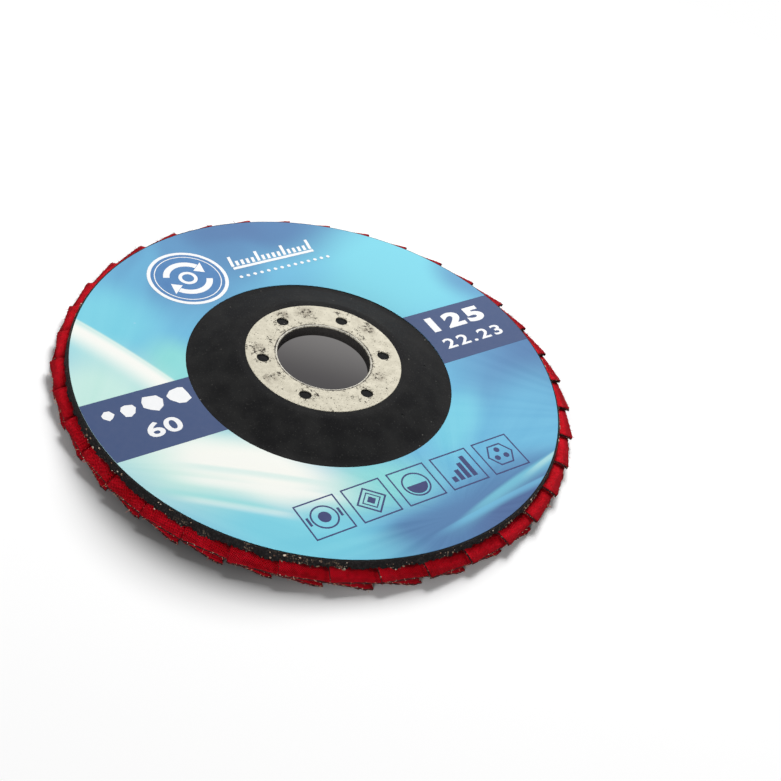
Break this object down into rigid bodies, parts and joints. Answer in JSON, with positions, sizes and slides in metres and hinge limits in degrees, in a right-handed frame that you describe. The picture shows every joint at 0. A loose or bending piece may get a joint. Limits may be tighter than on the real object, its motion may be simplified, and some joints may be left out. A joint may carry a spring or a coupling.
{
  "type": "flap disc",
  "caption": "Round abrasive flap disc with overlapping cloth flaps, a raised centre hub and a plain round arbor bore.",
  "frame": {"origin": "centre of the arbor bore, halfway along its straight wall", "axes": "+Z along the bore's axis, out of the label's side, which faces the machine; the flaps are on the -Z side; +X and +Y are arbitrary directions across the disc, since a disc has no front"},
  "size_m": [0.1249, 0.1249, 0.0099],
  "materials": {
    "resin_plate": "matt moulded resin with glass fibre",
    "plated_steel": "thin plating, speckled and scuffed",
    "printed_paper": "satin printed paper",
    "adhesive": "cured resin adhesive",
    "abrasive_cloth": "red woven cloth coated with grit"
  },
  "bodies": {
    "root": {"backing_plate": "resin_plate", "hub_ring": "plated_steel", "label": "printed_paper", "adhesive_bed": "adhesive", "flap_01": "abrasive_cloth", "flap_02": "abrasive_cloth", "flap_03": "abrasive_cloth", "flap_04": "abrasive_cloth", "flap_05": "abrasive_cloth", "flap_06": "abrasive_cloth", "flap_07": "abrasive_cloth", "flap_08": "abrasive_cloth", "flap_09": "abrasive_cloth", "flap_10": "abrasive_cloth", "flap_11": "abrasive_cloth", "flap_12": "abrasive_cloth", "flap_13": "abrasive_cloth", "flap_14": "abrasive_cloth", "flap_15": "abrasive_cloth", "flap_16": "abrasive_cloth", "flap_17": "abrasive_cloth", "flap_18": "abrasive_cloth", "flap_19": "abrasive_cloth", "flap_20": "abrasive_cloth", "flap_21": "abrasive_cloth", "flap_22": "abrasive_cloth", "flap_23": "abrasive_cloth", "flap_24": "abrasive_cloth", "flap_25": "abrasive_cloth", "flap_26": "abrasive_cloth", "flap_27": "abrasive_cloth", "flap_28": "abrasive_cloth", "flap_29": "abrasive_cloth", "flap_30": "abrasive_cloth", "flap_31": "abrasive_cloth", "flap_32": "abrasive_cloth", "flap_33": "abrasive_cloth", "flap_34": "abrasive_cloth", "flap_35": "abrasive_cloth", "flap_36": "abrasive_cloth", "flap_37": "abrasive_cloth"}
  },
  "joints": []
}
